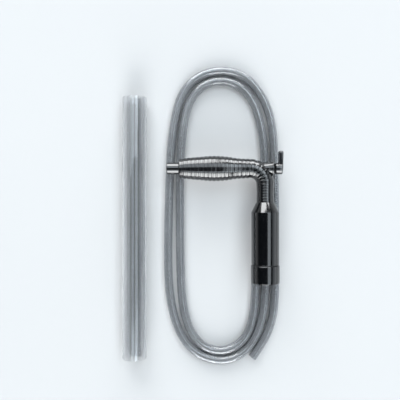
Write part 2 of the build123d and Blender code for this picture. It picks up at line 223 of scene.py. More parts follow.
class ShaderGraph(Graph):
    """The nodes of one material, round a Principled shader."""

    def __init__(self, name: str) -> None:
        """Starts a material with a bare Principled shader."""
        self.material = bpy.data.materials.new(name)
        self.material.use_nodes = True
        super().__init__(self.material.node_tree)
        self.shader = self.tree.nodes["Principled BSDF"]
        self.place = self.node("ShaderNodeTexCoord").outputs["Object"]

    def stretched(self, scale: Sequence[float], vector: Input | None = None) -> Socket:
        """Places, each coordinate multiplied, so that a pattern on them is drawn out."""
        source = self.place if vector is None else vector
        return self.node("ShaderNodeVectorMath", {"operation": "MULTIPLY"}, {0: source, 1: scale}).outputs[0]

    def noise(self, size: float, detail: float = 2.0, vector: Input | None = None) -> Num:
        """Even noise, 0 to 1, whose spots are about this size."""
        sockets = {"Vector": self.place if vector is None else vector, "Scale": 1 / size, "Detail": detail}
        return Num(self, self.node("ShaderNodeTexNoise", {}, sockets).outputs[0])

    def attribute(self, name: str) -> bpy.types.Node:
        """A value that the piece's own mesh holds."""
        return self.node("ShaderNodeAttribute", {"attribute_name": name})

    def coordinate(self, number: int) -> Num:
        """One of the three coordinates of the place."""
        return Num(self, self.node("ShaderNodeSeparateXYZ", {}, {0: self.place}).outputs[number])

    def blend(self, low: Input, high: Input, share: Input) -> Socket:
        """A colour from low to high by a share from 0 to 1."""
        node = self.node("ShaderNodeMix", {"data_type": "RGBA"}, {0: share, 6: low, 7: high})
        return node.outputs[2]

    def bumps(self, height: Num, distance: float, strength: float = 1.0) -> None:
        """Feeds a height of 0 to 1, this far apart in metres, to the shader's normal."""
        sockets = {"Height": height, "Distance": distance, "Strength": strength}
        self.put(self.shader.inputs["Normal"], self.node("ShaderNodeBump", {}, sockets).outputs[0])

    def finish(self, **sockets: Input) -> Material:
        """Sets the shader's sockets, named with _ for spaces, and gives the material."""
        for name, value in sockets.items():
            self.put(self.shader.inputs[name.replace("_", " ")], value)
        return self.material


SOCKET_KINDS = {
    float: "NodeSocketFloat",
    int: "NodeSocketInt",
    Material: "NodeSocketMaterial",
}


class GeometryGraph(Graph):
    """A geometry tree whose named inputs are the sizes of a piece and its finish."""

    def __init__(self, name: str, sizes: dict[str, float | int | Material]) -> None:
        """Starts a tree with one input for each size.

        Args:
            name: the tree's name.
            sizes: the inputs' names and the values that they get on the modifier.
        """
        super().__init__(bpy.data.node_groups.new(name, "GeometryNodeTree"))
        self.sizes = sizes
        sockets = self.tree.interface
        sockets.new_socket("Geometry", in_out="INPUT", socket_type="NodeSocketGeometry")
        self.identifiers = {
            label: sockets.new_socket(label, in_out="INPUT", socket_type=SOCKET_KINDS[type(value)]).identifier
            for label, value in sizes.items()
        }
        sockets.new_socket("Geometry", in_out="OUTPUT", socket_type="NodeSocketGeometry")
        self.source = self.tree.nodes.new("NodeGroupInput")
        self.sink = self.tree.nodes.new("NodeGroupOutput")

    def size(self, label: str) -> Num:
        """One of the tree's inputs."""
        return Num(self, self.source.outputs[label])

    def step(self, kind: str, settings: dict | None = None, sockets: dict | None = None) -> Socket:
        """Adds a node and gives its first output."""
        return self.node(kind, settings, sockets).outputs[0]

    def close(self, geometry: Input) -> None:
        """Ends the tree: instances are made real, and everything gets the finish."""
        real = self.step("GeometryNodeRealizeInstances", {}, {0: geometry})
        dressed = self.step("GeometryNodeSetMaterial", {}, {0: real, "Material": self.size("Finish")})
        self.put(self.sink.inputs[0], dressed)

    def grow(self, name: str, base: Mesh) -> Piece:
        """Runs the tree on a mesh.

        Args:
            name: the new piece's name.
            base: what the tree starts from.

        Returns:
            A plain mesh object, with no modifier.
        """
        piece = bpy.data.objects.new(name, base)
        modifier = piece.modifiers.new(self.tree.name, "NODES")
        modifier.node_group = self.tree
        for label, value in self.sizes.items():
            modifier[self.identifiers[label]] = value
        bpy.context.scene.collection.objects.link(piece)
        return made_plain(piece)


# ---------------------------------------------------------------- mesh tools
def made_plain(piece: Piece) -> Piece:
    """Turns what a piece's modifiers make into its own mesh, and takes the modifiers off."""
    shown = piece.evaluated_get(bpy.context.evaluated_depsgraph_get())
    mesh = bpy.data.meshes.new_from_object(shown)
    piece.modifiers.clear()
    piece.data = mesh
    return piece


def shaded(mesh: Mesh, sharp: float = 35.0) -> None:
    """Shades a mesh smooth, with edges that turn more than sharp degrees kept crisp."""
    mesh.polygons.foreach_set("use_smooth", [True] * len(mesh.polygons))
    mesh.set_sharp_from_angle(angle=radians(sharp))


def closed_piece(name: str, points: Sequence[Vector], faces: Sequence[Sequence[int]]) -> Piece:
    """Makes a closed mesh piece with its normals outwards.

    Args:
        name: the piece's name.
        points: its corners, in metres.
        faces: the corners of each face.

    Returns:
        The piece, linked to the scene.
    """
    mesh = bpy.data.meshes.new(name)
    mesh.from_pydata([tuple(p) for p in points], [], [tuple(f) for f in faces])
    work = bmesh.new()
    work.from_mesh(mesh)
    bmesh.ops.remove_doubles(work, verts=work.verts, dist=0.5 * MICRON)
    bmesh.ops.recalc_face_normals(work, faces=work.faces)
    work.to_mesh(mesh)
    work.free()
    shaded(mesh)
    piece = bpy.data.objects.new(name, mesh)
    bpy.context.scene.collection.objects.link(piece)
    return piece


def ring_faces(rings: int, count: int, closed: bool) -> list[tuple[int, int, int, int]]:
    """The faces between rings of count points each.

    Args:
        rings: how many rings there are.
        count: the points in each.
        closed: whether the last ring joins the first.

    Returns:
        Four corners for each face.
    """
    faces = []
    for i in range(rings if closed else rings - 1):
        here, there = i * count, (i + 1) % rings * count
        for k in range(count):
            following = (k + 1) % count
            faces.append((here + k, here + following, there + following, there + k))
    return faces


def rounded(corners: Sequence[tuple[float, ...]], closed: bool = True, steps: int = 4) -> Outline:
    """Turns an outline's corners into arcs.

    Args:
        corners: (along, across) or (along, across, radius) for each corner. One with no radius stays sharp.
        closed: whether the last corner joins the first.
        steps: the runs in each arc.

    Returns:
        The outline's points.
    """
    outline: Outline = []
    for i, corner in enumerate(corners):
        here = Vector(corner[:2])
        if len(corner) < 3 or (not closed and i in (0, len(corners) - 1)):
            outline.append(tuple(here))
            continue
        back = (Vector(corners[i - 1][:2]) - here).normalized()
        on = (Vector(corners[(i + 1) % len(corners)][:2]) - here).normalized()
        half = acos(max(-1.0, min(1.0, back.dot(on)))) / 2
        middle = here + (back + on).normalized() * corner[2] / sin(half)
        start = here + back * corner[2] / tan(half) - middle
        end = here + on * corner[2] / tan(half) - middle
        for k in range(steps + 1):
            turn = (pi - 2 * half) * k / steps
            spoke = start * cos(turn) + (end - start * cos(pi - 2 * half)) / sin(pi - 2 * half) * sin(turn)
            outline.append(tuple(middle + spoke))
    return outline


def rod(*steps: tuple[float, float, float]) -> Outline:
    """The outline of a stepped rod, closed at both ends.

    Args:
        steps: (start, end, radius) of each step, one after another along the axis.

    Returns:
        (along, radius) points from the axis and back to it.
    """
    outline: Outline = [(steps[0][0], 0.0)]
    for start, end, radius in steps:
        outline += [(start, radius), (end, radius)]
    return [*outline, (steps[-1][1], 0.0)]


@dataclass(frozen=True)
class Axis:
    """A straight axis that turned pieces stand on. Lengths along it count from its origin."""

    origin: Vector
    along: Vector
    side: Vector

    def point(self, along: float, radius: float, angle: float) -> Vector:
        """The place at a distance along the axis, a radius from it and an angle round it."""
        other = self.along.cross(self.side)
        spoke = self.side * cos(angle) + other * sin(angle)
        return self.origin + self.along * along + spoke * radius

    def turn(self, name: str, outline: Outline, count: int = 128) -> Piece:
        """Turns an outline round the axis.

        Args:
            name: the piece's name.
            outline: (along, radius) points. One that keeps off the axis closes on itself, and has a bore.
            count: the facets in a full turn.

        Returns:
            The piece.
        """
        bored = min(radius for _, radius in outline) > 0
        angles = [tau * k / count for k in range(count)]
        points = [self.point(along, radius, angle) for along, radius in outline for angle in angles]
        return closed_piece(name, points, ring_faces(len(outline), count, bored))


def cut(piece: Piece, tool: Piece, work: Work = Work.CUT) -> None:
    """Cuts a tool out of a piece, or joins it on, and removes the tool.

    Args:
        piece: what is cut.
        tool: a closed mesh.
        work: whether the tool is cut out or joined on.
    """
    modifier = piece.modifiers.new(work.value, "BOOLEAN")
    modifier.operation, modifier.solver, modifier.object = work.value, "EXACT", tool
    bpy.context.view_layer.update()
    made_plain(piece)
    bpy.data.objects.remove(tool)
    shaded(piece.data)


def dress(piece: Piece, material: Material) -> None:
    """Gives a piece one material all over."""
    piece.data.materials.clear()
    piece.data.materials.append(material)
    for polygon in piece.data.polygons:
        polygon.material_index = 0


def hand_over(piece: Piece, finish: Material, body: Body, node: str) -> None:
    """Puts a piece in the place of one of the model's parts.

    Args:
        piece: the piece.
        finish: its material.
        body: what it moves with.
        node: the part that it replaces.
    """
    dress(piece, finish)
    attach(piece, body.value)
    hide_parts(node)


def dress_nodes(material: Material, *names: str) -> None:
    """Gives the model's own parts a material.

    Args:
        material: the material for every slot of theirs.
        names: the parts' names.
    """
    for name in names:
        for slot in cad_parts[name].material_slots:
            slot.material = material


def report(what: str, *pieces: Piece) -> None:
    """Says in the log what was made, and how many faces it has."""
    faces = sum(len(piece.data.polygons) for piece in pieces)
    logging.info("%s: %d piece(s), %d faces", what, len(pieces), faces)


# ---------------------------------------------------------------- finishes
@dataclass(frozen=True)
class MouldedPlastic:
    """Opaque injection-moulded plastic, with orange peel, handling marks and a faint parting line."""

    name: str
    colour: Colour
    worn: Colour
    roughness: float
    peel: float = 1.2 * MICRON
    peel_size: float = 1.1 * MM
    smudge_size: float = 9 * MM
    hair_size: float = 1.0 * MM
    wear_size: float = 2.5 * MM
    relief: float = 10 * MICRON
    marks: float = 0.10
    parting_height: float | None = None
    ribbed: bool = False
    gloss: float = 0.0
    gloss_roughness: float = 0.12
    density: float = 1.53

    def make(self) -> Material:
        """Builds the material."""
        g = ShaderGraph(self.name)
        smudge = g.noise(self.smudge_size, 3.0)
        hairs = g.noise(self.hair_size, 2.0, g.stretched((0.15, 1.0, 1.0))).rise(0.62, 0.70)
        wear = g.noise(self.wear_size, 4.0).rise(0.55, 0.75)
        if self.ribbed:
            wear = wear * g.attribute("crest").outputs["Fac"]
        height = g.noise(self.peel_size, 1.0) * (self.peel / self.relief)
        if self.parting_height is not None:
            seam = (g.coordinate(2) - self.parting_height).size()
            height = height + (1 - seam.rise(0.05 * MM, 0.22 * MM))
        g.bumps(height, self.relief, 0.5)
        handled = smudge.rise(0.45, 0.7) * (self.marks * 0.5)
        return g.finish(
            Base_Color=g.blend(self.colour, self.worn, wear * 0.6 + smudge * 0.15),
            Roughness=self.roughness + handled + (hairs + wear) * self.marks,
            IOR=self.density,
            Coat_Weight=self.gloss,
            Coat_Roughness=self.gloss_roughness,
        )


@dataclass(frozen=True)
class ClearPlastic:
    """Rigid clear tube stock, with faint draw lines along +Y and light handling haze."""

    name: str
    colour: Colour
    roughness: float
    line_size: float = 0.9 * MM
    haze_size: float = 14 * MM
    relief: float = 12 * MICRON
    density: float = 1.53

    def make(self) -> Material:
        """Builds the material."""
        g = ShaderGraph(self.name)
        lines = g.noise(self.line_size, 3.0, g.stretched((1.0, 0.004, 1.0)))
        haze = g.noise(self.haze_size, 4.0).rise(0.5, 0.8)
        g.bumps(lines, self.relief, 0.5)
        return g.finish(
            Base_Color=self.colour,
            Roughness=self.roughness + haze * 0.05 + lines.rise(0.55, 0.8) * 0.03,
            Transmission_Weight=1.0,
            IOR=self.density,
        )


@dataclass(frozen=True)
class SoftVinyl:
    """Translucent grey hose vinyl, with lines along the hose and cloudy spots."""

    name: str
    colour: Colour
    cloudy: Colour
    roughness: float
    relief: float = 4 * MICRON
    clearness: float = 0.82
    density: float = 1.51

    def make(self) -> Material:
        """Builds the material, which reads the hose's own round-and-along attribute."""
        g = ShaderGraph(self.name)
        lay = g.attribute("lay").outputs["Vector"]
        lines = g.noise(0.16, 1.0, g.stretched((1.0, 1.0, 0.6), lay))
        clouds = g.noise(0.05, 2.0, g.stretched((0.02, 0.02, 1.0), lay))
        g.bumps(lines, self.relief, 0.5)
        return g.finish(
            Base_Color=g.blend(self.colour, self.cloudy, clouds.rise(0.35, 0.75)),
            Roughness=self.roughness + lines.rise(0.4, 0.7) * 0.03,
            Transmission_Weight=self.clearness,
            IOR=self.density,
        )


@dataclass(frozen=True)
class Rubber:
    """Matt seal rubber with a fine bloom."""

    name: str
    colour: Colour
    bloom: Colour
    grain_size: float = 0.25 * MM
    patch_size: float = 3 * MM
    relief: float = 15 * MICRON
    density: float = 1.5

    def make(self) -> Material:
        """Builds the material."""
        g = ShaderGraph(self.name)
        grain = g.noise(self.grain_size, 3.0)
        patches = g.noise(self.patch_size, 2.0).rise(0.5, 0.8)
        g.bumps(grain, self.relief, 0.5)
        return g.finish(
            Base_Color=g.blend(self.colour, self.bloom, patches * 0.5),
            Roughness=0.55 + patches * 0.2,
            IOR=self.density,
        )


@dataclass(frozen=True)
class TurnedSteel:
    """Bright steel with the rings that a lathe leaves round an axis along +X."""

    name: str
    colour: Colour
    centre: tuple[float, float]
    stained: Colour = (0.36, 0.35, 0.33, 1.0)
    ring_pitch: float = 0.12 * MM
    stain_size: float = 0.8 * MM
    relief: float = 4 * MICRON

    def make(self) -> Material:
        """Builds the material."""
        g = ShaderGraph(self.name)
        away = [g.coordinate(1) - self.centre[0], g.coordinate(2) - self.centre[1]]
        reach = (away[0] * away[0] + away[1] * away[1]).root()
        rings = ((reach / self.ring_pitch).fraction() - 0.5).size() * 2
        stain = g.noise(self.stain_size, 3.0)
        g.bumps(rings, self.relief, 0.4)
        return g.finish(
            Base_Color=g.blend(self.colour, self.stained, stain.rise(0.5, 0.8) * 0.5),
            Roughness=0.24 + stain * 0.16,
            Metallic=1.0,
        )


class Finishes:
    """Every finish of the siphon, made once."""

    def __init__(self, height: float, screw: tuple[float, float]) -> None:
        """Makes the materials.

        Args:
            height: how high the handpiece's axes are, where its mould parts.
            screw: the lever screw's place, across the grip's axis.
        """
        black = (0.0008, 0.001, 0.0014, 1.0)
        shared = {"colour": black, "parting_height": height, "gloss": 0.4}
        self.gloss = MouldedPlastic(
            "gloss_black", worn=(0.005, 0.0055, 0.006, 1.0), roughness=0.14, marks=0.06, **shared
        ).make()
        worn = (0.012, 0.0125, 0.0135, 1.0)
        self.ribbed = MouldedPlastic(
            "ribbed_black", worn=worn, roughness=0.15, marks=0.08, ribbed=True, **shared
        ).make()
        self.lever = MouldedPlastic(
            "lever_black", (0.006, 0.0065, 0.0075, 1.0), (0.02, 0.02, 0.022, 1.0), 0.12, gloss=0.3
        ).make()
        self.valve = MouldedPlastic(
            "valve_white", (0.62, 0.63, 0.61, 1.0), (0.45, 0.45, 0.42, 1.0), 0.34, peel_size=0.5 * MM
        ).make()
        self.guard = MouldedPlastic(
            "guard_grey", (0.05, 0.052, 0.056, 1.0), (0.12, 0.12, 0.12, 1.0), 0.25, peel_size=0.6 * MM
        ).make()
        self.ball = MouldedPlastic(
            "ball_grey", (0.33, 0.34, 0.35, 1.0), (0.22, 0.22, 0.22, 1.0), 0.28, peel_size=0.7 * MM
        ).make()
        self.tube = ClearPlastic("clear_tube", (0.905, 0.915, 0.925, 1.0), 0.02).make()
        self.hose = SoftVinyl("hose_vinyl", (0.385, 0.40, 0.42, 1.0), (0.44, 0.455, 0.47, 1.0), 0.16).make()
        self.rubber = Rubber("seal_rubber", (0.012, 0.012, 0.013, 1.0), (0.05, 0.05, 0.05, 1.0)).make()
        self.steel = TurnedSteel("screw_steel", (0.66, 0.65, 0.63, 1.0), screw).make()


# ---------------------------------------------------------------- hose
HOSE_ROUTE = [  # from the open end at the lower right to the end that lies under the chamber, in mm
    (57.5, -148.0), (70.0, -130.5), (79.0, -110.0), (83.0, -87.5), (83.5, -48.5), (83.5, 14.0), (82.5, 76.5),
    (81.0, 109.5), (75.0, 137.0), (61.5, 161.0), (43.5, 175.0), (20.0, 179.0), (-3.5, 172.5), (-21.5, 155.0),
    (-30.5, 126.5), (-35.5, 88.0), (-37.5, 25.5), (-38.5, -39.5), (-37.0, -73.5), (-31.0, -105.5),
    (-19.0, -132.0), (0.5, -147.5), (24.0, -152.5), (45.0, -145.5), (59.5, -129.0), (68.5, -106.5),
    (72.0, -80.5), (72.5, -39.5), (72.5, 19.5), (71.5, 79.0), (69.0, 109.5), (61.5, 138.0), (47.5, 158.5),
    (26.0, 167.5), (3.0, 163.5), (-13.0, 146.5), (-21.0, 120.0), (-24.5, 79.0), (-25.0, 17.5), (-24.5, -39.5),
    (-23.5, -69.0), (-20.5, -96.5), (-12.5, -120.5), (3.5, -137.5), (23.5, -141.5), (41.5, -134.5),
    (53.5, -120.0), (59.5, -97.5), (61.0, -70.5), (61.5, -44.0), (61.0, -19.0),
]


@dataclass
class Hose:
    """The loose vinyl hose, coiled flat on the floor."""

    outer_r: float = 4.75 * MM
    bore_r: float = 3.5 * MM
    rim: float = 0.25 * MM
    length: float = 1.608
    count: int = 40
    curve_steps: int = 20
    curve_order: int = 3
    line: list[Vector] = field(default_factory=list)

    def lay_line(self) -> None:
        """Reads the hose's centreline from a smooth curve through the route."""
        curve = bpy.data.curves.new("hose_line", "CURVE")
        curve.dimensions, curve.resolution_u = "3D", self.curve_steps
        spline = curve.splines.new("NURBS")
        spline.points.add(len(HOSE_ROUTE) - 1)
        for point, (x, y) in zip(spline.points, HOSE_ROUTE):
            point.co = (x * MM, y * MM, self.outer_r, 1.0)
        spline.order_u = self.curve_order
        spline.use_endpoint_u = True
        holder = bpy.data.objects.new("hose_line", curve)
        drawn = bpy.data.meshes.new_from_object(holder)
        self.line = [vertex.co.copy() for vertex in drawn.vertices][::-1]
        bpy.data.objects.remove(holder)
        bpy.data.curves.remove(curve)

    def build(self, finish: Material) -> None:
        """Makes the tube with its wall and its square-cut ends.

        Args:
            finish: the hose's vinyl.
        """
        self.lay_line()
        last = len(self.line) - 1
        walk = [(0, self.outer_r - self.rim)] + [(i, self.outer_r) for i in range(last + 1)]
        walk += [(last, self.outer_r - self.rim), (last, self.bore_r + self.rim)]
        walk += [(i, self.bore_r) for i in range(last, -1, -1)] + [(0, self.bore_r + self.rim)]
        travelled = [0.0]
        for before, here in zip(self.line, self.line[1:]):
            travelled.append(travelled[-1] + (here - before).length)
        points, lay = [], []
        for i, radius in walk:
            before, after = self.line[max(i - 1, 0)], self.line[min(i + 1, last)]
            heading = (after - before).normalized()
            side = heading.cross(Vector((0, 0, 1)))
            inset = self.rim * ((i == 0) - (i == last)) if radius in (self.outer_r, self.bore_r) else 0.0
            middle = self.line[i] + heading * inset
            for k in range(self.count):
                turn = tau * k / self.count
                points.append(middle + (side * cos(turn) + Vector((0, 0, 1)) * sin(turn)) * radius)
                lay.append((cos(turn), sin(turn), travelled[i]))
        hose = closed_piece("siphon_hose_tube", points, ring_faces(len(walk), self.count, True))
        layer = hose.data.attributes.new("lay", "FLOAT_VECTOR", "POINT")
        for entry, value in zip(layer.data, lay):
            entry.vector = value
        hand_over(hose, finish, Body.MAIN, "siphon_hose")
        report("hose", hose)


# ---------------------------------------------------------------- gravel tube
@dataclass
class GravelTube:
    """The clear rigid tube that goes into the gravel."""

    wall: float = 1.2 * MM
    rim: float = 0.35 * MM

    def build(self, finish: Material) -> None:
        """Makes the tube with softly rounded rims.

        Args:
            finish: the clear plastic.
        """
        low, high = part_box("gravel_tube")
        outer = (high.x - low.x) / 2
        middle = Vector(((low.x + high.x) / 2, 0, (low.z + high.z) / 2))
        axis = Axis(middle, Vector((0, 1, 0)), Vector((1, 0, 0)))
        inner = outer - self.wall
        corners = [(low.y, outer, self.rim), (high.y, outer, self.rim), (high.y, inner, self.rim)]
        tube = axis.turn("gravel_tube_clear", rounded([*corners, (low.y, inner, self.rim)]), 160)
        hand_over(tube, finish, Body.TUBE, "gravel_tube")
        report("gravel tube", tube)


# ---------------------------------------------------------------- handpiece
@dataclass
class Handle:
    """The ribbed grip, elbow and neck, one moulding, with the regulator's barrel.

    The radii of grip_radii and neck_radii are in millimetres, each at a share of the grip's or the neck's
    length, and curve_top is the radius at the top of the curve that they make.
    """

    grip: Axis
    chamber: Axis
    start: float
    bend_r: float = 17.0 * MM
    bend_steps: int = 32
    neck_end: float = 28.3 * MM
    plug_end: float = 20.5 * MM
    plug_r: float = 8.4 * MM
    step: float = 0.25 * MM
    count: int = 96
    grip_ribs: int = 17
    bend_ribs: int = 6
    neck_ribs: int = 7
    rib_height: float = 0.5 * MM
    neck_rib_height: float = 0.2 * MM
    rib_share: float = 0.64
    rib_soft: float = 0.12
    end_round: float = 0.9 * MM
    grip_radii: tuple[tuple[float, float], ...] = (
        (0.0, 9.3),
        (0.122, 11.1),
        (0.301, 12.5),
        (0.481, 13.5),
        (0.66, 12.85),
        (0.827, 11.0),
        (1.0, 10.2),
    )
    neck_radii: tuple[tuple[float, float], ...] = ((0.0, 9.5), (0.5, 9.15), (0.9, 9.4), (1.0, 9.4))
    curve_top: float = 20.0
    barrel_r: float = 6.9 * MM
    barrel_start: float = 57.0 * MM
    barrel_end: float = 76.6 * MM
    flat_r: float = 8.35 * MM
    valve_r: float = 5.6 * MM
    valve_start: float = 59.0 * MM
    flow_r: float = 4.5 * MM
    socket_r: float = 6.0 * MM
    socket_depth: float = 10.0 * MM

    def lengths(self) -> tuple[float, float, float, float]:
        """How far the grip, the elbow, the neck and the neck's plug each run along the axis."""
        corner_x, corner_y = self.chamber.origin.x, self.grip.origin.y
        grip = corner_x - self.bend_r - self.start
        neck = corner_y - self.bend_r - self.neck_end
        return grip, self.bend_r * pi / 2, neck, self.neck_end - self.plug_end

    def radius_bends(self) -> Outline:
        """The core's radius along the axis, as shares of the whole run and of curve_top."""
        grip, bend, neck, plug = self.lengths()
        total = grip + bend + neck + plug
        places = [(share * grip / total, radius) for share, radius in self.grip_radii]
        places += [((grip + bend + share * neck) / total, radius) for share, radius in self.neck_radii]
        places.append((1.0, self.neck_radii[-1][1]))
        return [(share, radius / self.curve_top) for share, radius in places]

    def tree(self, finish: Material) -> GeometryGraph:
        """The tree that sweeps the core along the path and raises the ribs on it.

        Args:
            finish: the ribbed plastic.

        Returns:
            The tree, whose base is the path's corners.
        """
        grip, bend, neck, plug = self.lengths()
        sizes = {
            "Bend Radius": self.bend_r,
            "Bend Steps": self.bend_steps,
            "Step": self.step,
            "Facets": self.count,
            "Grip Length": grip,
            "Bend Length": bend,
            "Neck Length": neck,
            "Plug Length": plug,
            "Plug Radius": self.plug_r,
            "Grip Ribs": float(self.grip_ribs),
            "Bend Ribs": float(self.bend_ribs),
            "Neck Ribs": float(self.neck_ribs),
            "Rib Height": self.rib_height,
            "Neck Rib Height": self.neck_rib_height,
            "Rib Share": self.rib_share,
            "Rib Softness": self.rib_soft,
            "End Rounding": self.end_round,
            "Finish": finish,
        }
        g = GeometryGraph("ribbed_handle", sizes)
        path = g.step("GeometryNodeMeshToCurve", {}, {0: g.source.outputs[0]})
        fillet = {0: path, "Count": g.size("Bend Steps"), "Radius": g.size("Bend Radius")}
        path = g.step("GeometryNodeFilletCurve", {"mode": "POLY"}, fillet)
        path = g.step("GeometryNodeResampleCurve", {"mode": "LENGTH"}, {0: path, "Length": g.size("Step")})
        along = Num(g, g.node("GeometryNodeSplineParameter").outputs["Length"])
        past_grip = along - g.size("Grip Length")
        past_bend = past_grip - g.size("Bend Length")
        past_neck = past_bend - g.size("Neck Length")
        in_bend = (past_grip / g.size("Bend Length")).within()
        in_neck = (past_bend / g.size("Neck Length")).within()
        ribs = (along / g.size("Grip Length")).within() * g.size("Grip Ribs")
        ribs = ribs + in_bend * g.size("Bend Ribs") + in_neck * g.size("Neck Ribs")
        off_crest = (ribs.fraction() - 0.5).size() * 2
        share, soft = g.size("Rib Share"), g.size("Rib Softness")
        crest = 1 - off_crest.rise(share - soft, share + soft)
        lower = g.size("Rib Height") - g.size("Neck Rib Height")
        lift = g.size("Rib Height") - lower * (in_bend * 2).within()
        total = g.size("Grip Length") + g.size("Bend Length") + g.size("Neck Length") + g.size("Plug Length")
        core = g.step("ShaderNodeFloatCurve", {"bends": self.radius_bends()}, {"Value": along / total})
        rounding = 1 - (along / g.size("End Rounding")).within()
        drop = (1 - (1 - rounding * rounding).within().root()) * g.size("End Rounding")
        body = Num(g, core) * (self.curve_top * MM) + crest * lift - drop
        plugged = past_neck.rise(0.0, g.size("Step"))
        radius = body - (body - g.size("Plug Radius")) * plugged
        stored = {0: path, "Name": "crest", "Value": crest}
        path = g.step("GeometryNodeStoreNamedAttribute", {"data_type": "FLOAT"}, stored)
        ring = g.step("GeometryNodeCurvePrimitiveCircle", {}, {"Resolution": g.size("Facets"), "Radius": 1.0})
        skin = g.step("GeometryNodeCurveToMesh", {}, {0: path, 1: ring, "Scale": radius, "Fill Caps": True})
        g.close(g.step("GeometryNodeSetShadeSmooth", {}, {0: skin}))
        return g

    def build(self, finish: Material) -> None:
        """Makes the moulding and bores its water way.

        Args:
            finish: the ribbed plastic.
        """
        height = self.grip.origin.z
        corner = Vector((self.chamber.origin.x, self.grip.origin.y, height))
        route = [Vector((self.start, corner.y, height)), corner, Vector((corner.x, self.plug_end, height))]
        base = bpy.data.meshes.new("handle_path")
        base.from_pydata([tuple(p) for p in route], [(0, 1), (1, 2)], [])
        handle = self.tree(finish).grow("grip_handle_ribbed", base)
        past = self.barrel_end + MM
        beyond = 2 * self.barrel_end
        seat = self.start + self.socket_depth
        barrel = rod((self.barrel_start, self.barrel_end, self.barrel_r))
        cut(handle, self.grip.turn("barrel", barrel, 96), Work.JOIN)
        cut(handle, self.grip.turn("flat", rod((self.barrel_end, beyond, self.flat_r)), 96))
        bore = rod(
            (self.start - MM, seat, self.socket_r),
            (seat, self.valve_start, self.flow_r),
            (self.valve_start, past, self.valve_r),
        )
        cut(handle, self.grip.turn("grip_bore", bore, 64))
        cut(handle, self.chamber.turn("neck_bore", rod((self.plug_end - MM, corner.y, self.flow_r)), 64))
        hand_over(handle, finish, Body.MAIN, "grip_handle")
        report("handle", handle)


@dataclass
class Spigot:
    """The smooth stub at the grip's end that takes the hose, with the groove for its seal."""

    grip: Axis
    shoulder: float = -25.5 * MM
    outer_r: float = 6.45 * MM
    plug_r: float = 6.0 * MM
    bore_r: float = 4.8 * MM
    bore_depth: float = 14.0 * MM
    flow_r: float = 3.5 * MM
    groove_start: float = -20.28 * MM
    groove_end: float = -18.72 * MM
    groove_r: float = 4.8 * MM
    rim: float = 0.7 * MM
    mouth: float = 0.5 * MM
    lead: float = 0.3 * MM

    def build(self, finish: Material) -> None:
        """Makes the stub with its socket.

        Args:
            finish: the gloss plastic.
        """
        low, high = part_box("hose_spigot")
        floor = low.x + self.bore_depth
        corners = [
            (low.x, self.outer_r, self.rim),
            (self.shoulder, self.outer_r),
            (self.shoulder, self.plug_r),
            (self.groove_start, self.plug_r),
            (self.groove_start, self.groove_r),
            (self.groove_end, self.groove_r),
            (self.groove_end, self.plug_r),
            (high.x, self.plug_r, self.lead),
            (high.x, self.flow_r),
            (floor, self.flow_r),
            (floor, self.bore_r),
            (low.x, self.bore_r, self.mouth),
        ]
        spigot = self.grip.turn("hose_spigot_stub", rounded(corners))
        hand_over(spigot, finish, Body.MAIN, "hose_spigot")
        report("spigot", spigot)


@dataclass
class Chamber:
    """The bottle-shaped chamber, its sleeve, and the ring in the groove above the collar."""

    axis: Axis
    radius: float = 15.25 * MM
    shoulder_y: float = 17.5 * MM
    lip_r: float = 9.9 * MM
    throat_r: float = 8.4 * MM
    throat_y: float = 19.5 * MM
    bore_r: float = 12.9 * MM
    bore_top_y: float = 10.0 * MM
    end_y: float = -39.6 * MM
    sleeve_r: float = 14.0 * MM
    crisp: float = 0.3 * MM
    lip: float = 0.2 * MM
    dome: float = 1.0 * MM
    ring_gap: float = 0.01 * MM

    def build(self, finish: Material, rubber: Material) -> None:
        """Makes the chamber and its ring.

        Args:
            finish: the gloss plastic.
            rubber: the ring's rubber.
        """
        low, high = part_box("chamber_body")
        corners = [
            (high.y, self.throat_r, self.lip),
            (high.y, self.lip_r, self.crisp),
            (self.shoulder_y, self.radius, self.crisp),
            (self.end_y, self.radius, self.crisp),
            (self.end_y, self.sleeve_r),
            (low.y, self.sleeve_r, self.crisp),
            (low.y, self.bore_r, self.crisp),
            (self.bore_top_y, self.bore_r, self.dome),
            (self.throat_y, self.throat_r),
        ]
        chamber = self.axis.turn("chamber_shell", rounded(corners), 160)
        hand_over(chamber, finish, Body.MAIN, "chamber_body")
        ring_low, ring_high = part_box("collar_seal")
        outer = (ring_high.x - ring_low.x) / 2
        inner = self.sleeve_r + self.ring_gap
        section = [(ring_low.y, outer, self.crisp), (ring_high.y, outer, self.crisp)]
        section += [(ring_high.y, inner), (ring_low.y, inner)]
        ring = self.axis.turn("collar_seal_ring", rounded(section), 160)
        hand_over(ring, rubber, Body.MAIN, "collar_seal")
        report("chamber", chamber, ring)


